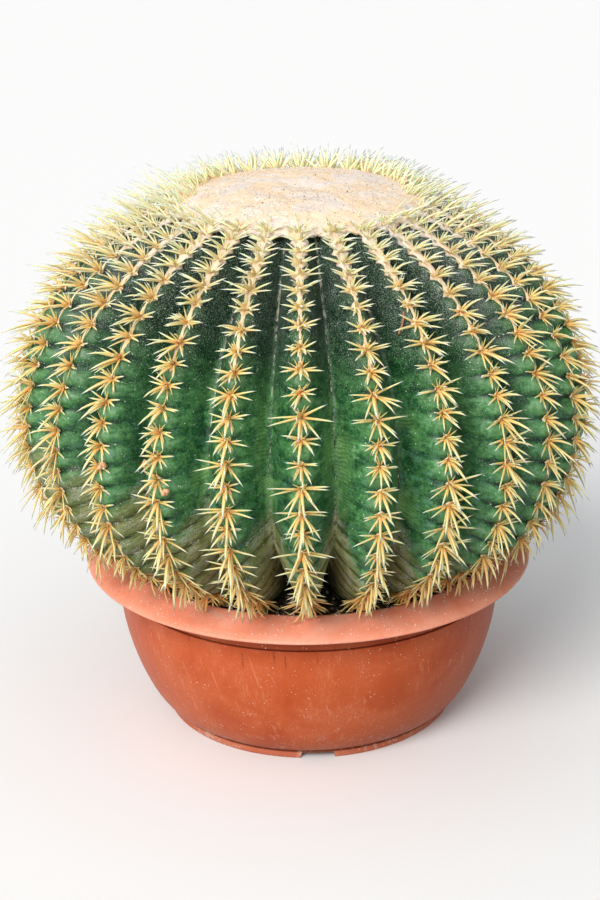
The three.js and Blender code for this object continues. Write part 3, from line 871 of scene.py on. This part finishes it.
def add_felt_strip(row, rib, lengths, rng):
    section = np.linspace(0, np.pi, 7)[:, None]
    rings = []
    for length in lengths:
        place, right, _, out = crest_frame(rib, length / CREST_LENGTH)
        wool = np.clip(1 - length / CREST_LENGTH / BAND_END, 0, 1)
        pad = bell(np.min(np.abs(AREOLES[rib] - length)), 3.3)
        half = 0.7 + 3.7 * wool + (2.5 + 1.1 * wool) * pad + 0.5 * rng.random()
        high = 0.3 + 1.5 * wool + (1.7 + 1.4 * wool) * pad + 0.4 * rng.random()
        end = min(1.0, (length - lengths[0]) / 2.4 + 0.3, (lengths[-1] - length) / 2.4 + 0.3)
        jitter = end * (1 + 0.2 * (rng.random((7, 1)) - 0.5))
        sideways, upwards = half * np.cos(section) * jitter, high * np.sin(section) * jitter - 0.5
        rings.append(place + right * sideways + out * upwards)
    count, sides = len(rings), len(section)
    corners = np.arange(sides)
    faces = [grid_faces(count, sides)[:, ::-1], corners[::-1][None], ((count - 1) * sides + corners)[None]]
    tone = np.repeat(rng.random(count) * 0.5, sides)
    row.add(np.array(rings), faces, age=np.repeat(lengths / CREST_LENGTH, sides), tone=tone)


def add_felt(row, rib, rng):
    """The felt along a crest: a beaded band near the crown, and a pad at each areole below it."""
    places = AREOLES[rib]
    band_end = BAND_END * CREST_LENGTH
    add_felt_strip(row, rib, np.arange(places[0] - 6, band_end, 1.7), rng)
    for length in places[places > band_end - 3]:
        add_felt_strip(row, rib, length + np.linspace(-3.4, 3.4, 7), rng)


def make_rows():
    for rib in range(RIB_COUNT):
        rng = np.random.default_rng(200 + rib)
        horn, felt = Skin("share", "age", "tone"), Skin("age", "tone")
        add_felt(felt, rib, rng)
        for along in AREOLES[rib] / CREST_LENGTH:
            wool = np.clip(1 - along / BAND_END, 0, 1)
            add_spines(horn, rib, along, rng)
            add_fibres(felt, rib, along, rng, 10 + int(20 * wool), 2.6 + 3.0 * wool)
        horn.make(f"spines_{rib + 1:02d}", HORN, "spines", f"spine_row_{rib + 1:02d}")
        felt.make(f"areole_felt_{rib + 1:02d}", FELT, "wool")


def seat_height(radius):
    """The height just above the body's crest line."""
    return crest_point(along_at_radius(radius))[1] + GAP


def wool_top(radius):
    return np.interp(radius, *WOOL_PROFILE.T)


def wool_height(radius):
    return wool_top(radius) - 14 * np.clip((radius - WOOL_SHOULDER) / 30, 0, 1) ** 1.25


def wool_age(radius):
    return ease(radius, 85, 114) * 0.12


def make_wool():
    rng = np.random.default_rng(5)
    across = (np.arange(WOOL_COLUMNS_A_RIB) - WOOL_COLUMNS_A_RIB / 2) / WOOL_COLUMNS_A_RIB
    angles = np.concatenate([angle_across(rib, across) for rib in range(RIB_COUNT)])
    groove = np.tile(2 * np.abs(across), RIB_COUNT)
    edge = WOOL_RADIUS + 1.5 - (WOOL_RADIUS - WOOL_GROOVE_RADIUS) * groove**1.6
    edge = edge + 1.6 * (rng.random(len(edge)) - 0.5)
    edge_height = seat_height(edge)
    radius = np.linspace(0.02, 1, WOOL_RINGS)[:, None] * (edge - 2.5)
    outer = np.clip((radius - WOOL_SHOULDER) / np.maximum(edge - 2.5 - WOOL_SHOULDER, 1), 0, 1)
    height = wool_top(radius) + (edge_height + 4.2 - WOOL_PROFILE[-1, 1]) * outer**1.3
    lip = [around(edge, edge_height + 1.6, angles), around(edge - 1, edge_height - 0.2, angles)]
    puffed = np.concatenate([around(radius, height, angles), lip])
    radius = np.hypot(puffed[..., 0], puffed[..., 1])
    puffed[..., 2] += lumps(puffed, 17, 2) + lumps(puffed, 5, 3, 2) * 0.5
    ripple = np.sin(np.hypot(puffed[..., 0] + 12, puffed[..., 1] + 20) / 4.6)
    puffed[..., 2] += 0.5 * ripple * ease(radius, 75, 25)
    seats = [around(radius, seat_height(radius), angles) for radius in (WOOL_SEAT_RADIUS, CROWN_RADIUS)]
    ends = [around(0, WOOL_APEX, 0), around(0, APEX_HEIGHT + GAP, 0)]
    rings = np.concatenate([puffed, seats])
    wool = Skin("age", "tone")
    wool.add_rings(rings, ends, age=wool_age(np.hypot(rings[..., 0], rings[..., 1])), tone=0.2)
    add_wool_hairs(wool, rng)
    wool.make("crown_wool_felt", FELT, "wool", "crown_wool")
    add_young_spines(rng)


def add_wool_hairs(wool, rng):
    count = WOOL_HAIRS
    radius = WOOL_RADIUS * rng.random(count) ** 0.24
    angle = rng.uniform(0, 360, count)
    root = around(radius, wool_height(radius) + 0.2, angle)
    flat = unit(np.append(rng.normal(0, 1, (count, 2)), np.zeros((count, 1)), axis=1))
    outward = turned(1.0, 0.0, np.radians(angle))
    rim = ease(radius, 80, 108)[:, None]
    direction = unit(flat * 0.9 + UP * (0.35 + 0.3 * rim) + outward * rim)
    length = rng.uniform(1.4, 2.8, (count, 1)) * (1 + 0.7 * rim)
    add_hairs(wool, root, direction, length, 0.4, [0.26, 0.2, 0], UP, wool_age(radius), rng)


# Fans of young spines, as radius and count: at the back edge of the wool, and in front
FANS_BEHIND, FANS_IN_FRONT = [(88, 3), (94, 5), (100, 7), (106, 8)], [(97, 1), (103, 3), (108, 4)]


def add_young_spines(rng):
    """Pale young spines that stand in the edge of the wool, taller behind."""
    horn = Skin("share", "age", "tone")
    for rib in range(RIB_COUNT):
        behind = ease(-math.cos(math.radians(RIB_ANGLES[rib])), -0.35, 0.5)
        for radius, fan in FANS_BEHIND if behind > 0.05 else FANS_IN_FRONT:
            angle = RIB_ANGLES[rib] + rng.normal(0, 0.8)
            outward, right = compass(angle)
            root = around(radius, wool_height(radius) - 1.5, angle)
            spread = np.linspace(-0.75, 0.75, fan) if fan > 1 else np.zeros(1)
            side = (spread + rng.normal(0, 0.25, fan))[:, None]
            lean = rng.uniform(0.0, 0.4, (fan, 1)) + 0.35 * (radius - 90) / 16
            direction = unit(side * right + lean * outward + UP)
            length = rng.uniform(12, 17, fan) + behind * rng.uniform(6, 12, fan)
            pull = (outward * 0.45 - UP * 0.12) * rng.uniform(0.3, 1.4, (fan, 1))
            start = root + right * side * 3.0 + outward * rng.normal(0, 1.5, (fan, 1))
            path = bent_paths(start, direction, length, pull, SPINE_PLACES)
            path[..., 2] = np.minimum(path[..., 2], SPINE_CEILING)
            widths = (rng.uniform(0.8, 1.0, (fan, 1)) + 0.55 * behind) * spine_taper(SPINE_PLACES)
            horn.add_tubes(path, widths, outward, SPINE_SIDES, SPINE_FLAT, tone=rng.random(fan))
    horn.make("young_spines", HORN, "spines")


def rounded(corners):
    """A profile of radius, height and corner radius, with each corner turned into an arc."""
    profile = []
    for index, (radius, height, fillet) in enumerate(corners):
        corner = np.array([radius, height], float)
        if fillet == 0 or index in (0, len(corners) - 1):
            profile.append(corner)
            continue
        before = np.array(corners[index - 1][:2], float) - corner
        after = np.array(corners[index + 1][:2], float) - corner
        reach = min(fillet, 0.48 * np.linalg.norm(before), 0.48 * np.linalg.norm(after))
        profile.extend(arc(corner + unit(before) * reach, corner, corner + unit(after) * reach, 4))
    return np.array(profile)


def pot_profile():
    def curve(points, count, last=None):
        return [(radius, height, 0) for radius, height in spline(points, count)[1:last]]

    foot = [(0, 5.8, 0), (60, 5.8, 0), (110, 5.8, 0), (126.5, 5.8, 0.8), (126.5, 0, 0.9), (131, 0, 1.3),
            (131, 5.2, 0.9), (129.4, 6.5, 0.5), (131.5, 8, 0.8), (134.2, 9.8, 0.0)]
    wall = curve([(134.2, 9.8), (139.2, 14.2), (149.5, 30), (161, 58), (169.2, 90), (172.3, 122)], 26)
    step = [(172.4, 123.7, 0.5), (170.4, 124.5, 0.3), (170.6, 130, 0), (170.8, 149.6, 3), (184, 147.4, 0),
            (198.0, 144.3, 0.3), (199.4, 143.9, 0.3), (200.1, 144.8, 0.5), (199.2, 146.7, 1.0)]
    rim = curve([(199.0, 146.8), (195, 149.4), (189, 151.9), (182, 154.3), (172.5, 156.7)], 16, -1)
    lip = [(171.5, 156.9, 1.2), (RIM_INNER_RADIUS, 155.6, 1.6), (RIM_INNER_RADIUS, 129.5, 0)]
    inside = curve([(RIM_INNER_RADIUS, 129.5), (161.5, 72), (145, 31), (124, 9.2)], 12)
    return rounded([*foot, *wall, *step, *rim, *lip, *inside, (0, 9.2, 0)])


def pot_angles():
    """Angles round the pot, closer together at the edges of the foot's notches, and a notch's half width."""
    angles = list(np.arange(0, 360, 2.0))
    half = math.degrees(math.asin(NOTCH_WIDTH / 2 / FOOT_RADIUS))
    for notch in range(NOTCH_COUNT):
        middle = NOTCH_ANGLE + notch * 360 / NOTCH_COUNT
        for side in (-1, 1):
            angles.extend(middle + side * (half + np.array([-0.75, -0.45, -0.2, 0.02, 0.2, 0.42])))
    angles = np.sort(np.mod(angles, 360))
    return angles[np.concatenate([[True], np.diff(angles) > 0.08])], half


def make_pot():
    profile = pot_profile()
    angles, half = pot_angles()
    radius, height = profile[1:-1, :1], profile[1:-1, 1:]
    rings = turned(radius, height, np.radians(angles))
    offset = (angles - NOTCH_ANGLE + 180 / NOTCH_COUNT) % (360 / NOTCH_COUNT) - 180 / NOTCH_COUNT
    open_share = 1 - ease(np.abs(offset), half - 0.5, half + 0.1)
    in_foot = (height < NOTCH_TOP) & (np.arange(len(radius)) < 30)[:, None] & (radius > 120)
    rings[..., 2] += np.where(in_foot, (NOTCH_TOP - height) * open_share, 0)
    wobble, nick = lumps(rings, 42, 7, 2), np.maximum(lumps(rings, 5, 8, 2), 0)
    at_lip = ease(radius, 193, 199.5) * (height > RIM_FOOT)
    near_rim = ease(radius, RIM_SLOPE_RADIUS, 195) * (height > RIM_FOOT)
    rings[..., 2] += 0.5 * wobble * near_rim - 0.3 * nick * at_lip
    outward = unit(rings[..., :2])
    rings[..., :2] += outward * (0.35 * wobble * near_rim - 0.45 * nick * at_lip)[..., None]
    # Wear at the lip, and painted light on the rim's inner top edge where the plant shades it
    wear = at_lip * 0.9 + ((height > 154.5) & (radius < 174)) * 0.6
    pot = Skin("wear")
    ends = [[0, 0, profile[0, 1]], [0, 0, profile[-1, 1]]]
    pot.add_rings(rings, ends, flip=True, wear=wear)
    drill_pot(pot.make("bowl_pot", PLASTIC, "pot", "pot"))


def drill_pot(piece):
    """Cuts the drain holes in the floor."""
    drills = Skin()
    corners = np.arange(DRAIN_SIDES)
    turn = 2 * np.pi * corners / DRAIN_SIDES
    circle = DRAIN_RADIUS * np.stack([np.cos(turn), np.sin(turn), np.zeros(DRAIN_SIDES)], axis=-1)
    faces = [grid_faces(2, DRAIN_SIDES)[:, ::-1], corners[::-1][None], (DRAIN_SIDES + corners)[None]]
    for hole in range(DRAIN_COUNT + 1):
        reach = DRAIN_CIRCLE if hole < DRAIN_COUNT else 0
        middles = turned(reach, np.array([-2.0, 16.0]), 2 * np.pi * hole / DRAIN_COUNT)
        drills.add(circle + middles[:, None], faces)
    cutter = add_object("drills", drills.mesh("drills"))
    cut = piece.modifiers.new("drain_holes", "BOOLEAN")
    cut.operation, cut.solver, cut.object = "DIFFERENCE", "MANIFOLD", cutter
    shape = bpy.data.meshes.new_from_object(piece.evaluated_get(bpy.context.evaluated_depsgraph_get()))
    piece.modifiers.clear()
    piece.data = shape
    bpy.data.objects.remove(cutter)


# A pebble's twenty faces
ICO = (1 + 5**0.5) / 2
PEBBLE_POINTS = unit(np.array([
    np.roll((x, y, 0), shift) for shift in range(3) for y in (ICO, -ICO) for x in (-1, 1)
]))
PEBBLE_FACES = np.array([
    (0, 11, 5), (0, 5, 1), (0, 1, 7), (0, 7, 10), (0, 10, 11), (1, 5, 9), (5, 11, 4), (11, 10, 2), (10, 7, 6),
    (7, 1, 8), (3, 9, 4), (3, 4, 2), (3, 2, 6), (3, 6, 8), (3, 8, 9), (4, 9, 5), (2, 4, 11), (6, 2, 10),
    (8, 6, 7), (9, 8, 1),
])


def add_pebbles(skin, places, sizes, tone, rng):
    """Small broken lumps of three sizes each, turned at random."""
    turns = unit(rng.normal(0, 1, (len(places), 4)))
    spin = np.array([Quaternion(turn).to_matrix() for turn in turns])
    dents = 1 + rng.uniform(-0.28, 0.28, (len(places), len(PEBBLE_POINTS), 1))
    shape = PEBBLE_POINTS * dents * sizes[:, None, :]
    skin.add_parts(np.einsum("nij,nkj->nki", spin, shape) + places[:, None], [PEBBLE_FACES], tone=tone)


def soil_level(radius):
    return SOIL_HEIGHT + 1.2 * ease(radius, 155, 167)


def make_soil():
    rng = np.random.default_rng(9)
    radii = np.concatenate([[40, 70], np.linspace(84, 167.0, 46)])[:, None]
    turn = np.radians(np.linspace(0, 360, SOIL_COLUMNS, endpoint=False))
    rings = turned(radii, soil_level(radii), turn)
    rings[..., 2] += 1.2 * lumps(rings, 17, 4) + 0.9 * lumps(rings, 4.5, 5, 2)
    rings = np.concatenate([rings, turned(SOIL_WALL[:, :1], SOIL_WALL[:, 1:], turn)])
    soil = Skin("tone")
    soil.add_rings(rings, [[0, 0, SOIL_HEIGHT], [0, 0, SOIL_WALL[-1, 1]]])
    count = SOIL_CRUMBS
    reach = np.sqrt(rng.uniform(100**2, 166**2, count))
    turn = rng.uniform(0, 2 * np.pi, count)
    places = turned(reach, soil_level(reach) + rng.uniform(-0.3, 1.2, count), turn)
    kind = rng.random(count)
    size = np.where(kind < 0.86, rng.uniform(0.9, 2.3, count), rng.uniform(0.5, 1.2, count))
    sizes = size[:, None] * rng.uniform(0.55, 1.25, (count, 3))
    add_pebbles(soil, places, sizes, np.where(kind < 0.5, 0.0, np.where(kind < 0.78, 0.5, 1.0)), rng)
    soil.make("potting_soil", SOIL, "soil", "soil")


# Rib, share along it and place across it of each thing that lies on the skin, and the size of a bud
BUDS = [
    (23, 0.543, 0.1, 3.0), (24, 0.523, -0.2, 3.3), (24, 0.564, 0.15, 2.8), (11, 0.36, 0.12, 3.0),
    (6, 0.5, -0.14, 2.7),
]
NEEDLE = [(2, 0.24, -0.15), (2, 0.259, -0.2), (2, 0.273, -0.3)]
RIM_SURFACE = np.array([
    (167.6, 157.1), (172.5, 156.8), (182, 154.5), (189, 152.1), (195, 149.6), (199, 147.0),
])


def on_skin(marks):
    """The places of marks on the skin, and the directions out of it there."""
    places = np.array([body_point(np.array([along]), rib, across)[0] for rib, along, across, *_ in marks])
    return places, unit(places - UP * EQUATOR_HEIGHT)


def make_litter():
    """Dried buds between the spines, a fallen needle and crumbs on the rim and the crown."""
    rng = np.random.default_rng(31)
    litter = Skin("tone")
    places, outward = on_skin(BUDS)
    for out, width in ((4.0, 1.15), (7.4, 0.85)):
        sizes = np.array([[size * width] for *_, size in BUDS]) * rng.uniform(0.8, 1.15, (len(BUDS), 3))
        add_pebbles(litter, places + outward * out, sizes, 0.5, rng)
    places, outward = on_skin(NEEDLE)
    needle = arc(*(places + outward * np.array([[2.0], [5.0], [2.5]])), 9)
    litter.add_tubes(needle[None], np.ones((1, 9)), np.array([0, -1.0, 0]), 6, tone=0.2)
    reach = rng.uniform(170, 197, RIM_CRUMBS)
    turn = rng.uniform(0, 2 * np.pi, RIM_CRUMBS)
    places = turned(reach, np.interp(reach, *RIM_SURFACE.T) + 0.15, turn)
    size = rng.uniform(0.25, 0.75, (RIM_CRUMBS, 1)) ** 1.4
    add_pebbles(litter, places, size, 1.0, rng)
    reach = rng.uniform(10, 100, CROWN_CRUMBS)
    size = rng.uniform(0.3, 0.8, (CROWN_CRUMBS, 1))
    kind = np.where(rng.random(CROWN_CRUMBS) < 0.5, 1.0, 0.0)
    places = around(reach, wool_height(reach) + 0.8, rng.uniform(0, 360, CROWN_CRUMBS))
    add_pebbles(litter, places, size, kind, rng)
    litter.make("litter", LITTER, "soil")


def make_camera():
    data = bpy.data.cameras.new("camera")
    data.lens, data.sensor_width = CAMERA_LENS, 36
    camera = add_object("camera", data)
    turn = Matrix.Rotation(math.radians(90 - CAMERA_ELEVATION), 4, "X")
    turn = turn @ Matrix.Rotation(math.radians(CAMERA_ROLL), 4, "Z")
    back = Matrix.Translation((0, 0, CAMERA_DISTANCE))
    camera.matrix_world = Matrix.Translation(CAMERA_AIM) @ turn @ back
    bpy.context.scene.camera = camera


def studio_world():
    """Soft light from a bright side, up and to the left, that dies away towards the other."""
    world = bpy.data.worlds.new("studio")
    world.use_nodes = True
    nodes = Nodes(world.node_tree)
    background = nodes.tree.nodes["Background"]
    background.inputs["Color"].default_value = (0.97, 0.985, 1.0, 1)
    place = nodes.node("TexCoord", output="Generated")
    facing = nodes.node("VectorMath", {0: place, 1: SKY_SIDE}, "Value", operation="DOT_PRODUCT")
    strength = nodes.step(facing, -0.6, 0.9, min=SKY_DARK, max=SKY_STRENGTH)
    nodes.put(background.inputs["Strength"], strength)
    bpy.context.scene.world = world


def make_stage():
    mesh = bpy.data.meshes.new("floor")
    mesh.from_pydata([(-30, -30, 0), (30, -30, 0), (30, 30, 0), (-30, 30, 0)], [], [(0, 1, 2, 3)])
    shade = Shade("floor_paint", Base_Color=(0.93, 0.93, 0.93, 1), Roughness=0.9, Specular_IOR_Level=0.1)
    mesh.materials.append(shade.material)
    floor = add_object("floor", mesh)
    floor.visible_diffuse = False
    studio_world()
    data = bpy.data.lights.new("sun", "SUN")
    data.energy, data.angle, data.color = SUN_STRENGTH, math.radians(SUN_SOFTNESS), (1.0, 0.98, 0.95)
    sun = add_object("sun", data)
    sun.rotation_euler = (math.radians(90 - SUN_ELEVATION), 0, math.radians(SUN_AZIMUTH))
    bpy.context.scene.view_settings.view_transform = "Standard"


make_camera()
make_stage()
make_pot()
make_soil()
make_body()
make_wool()
make_rows()
make_litter()
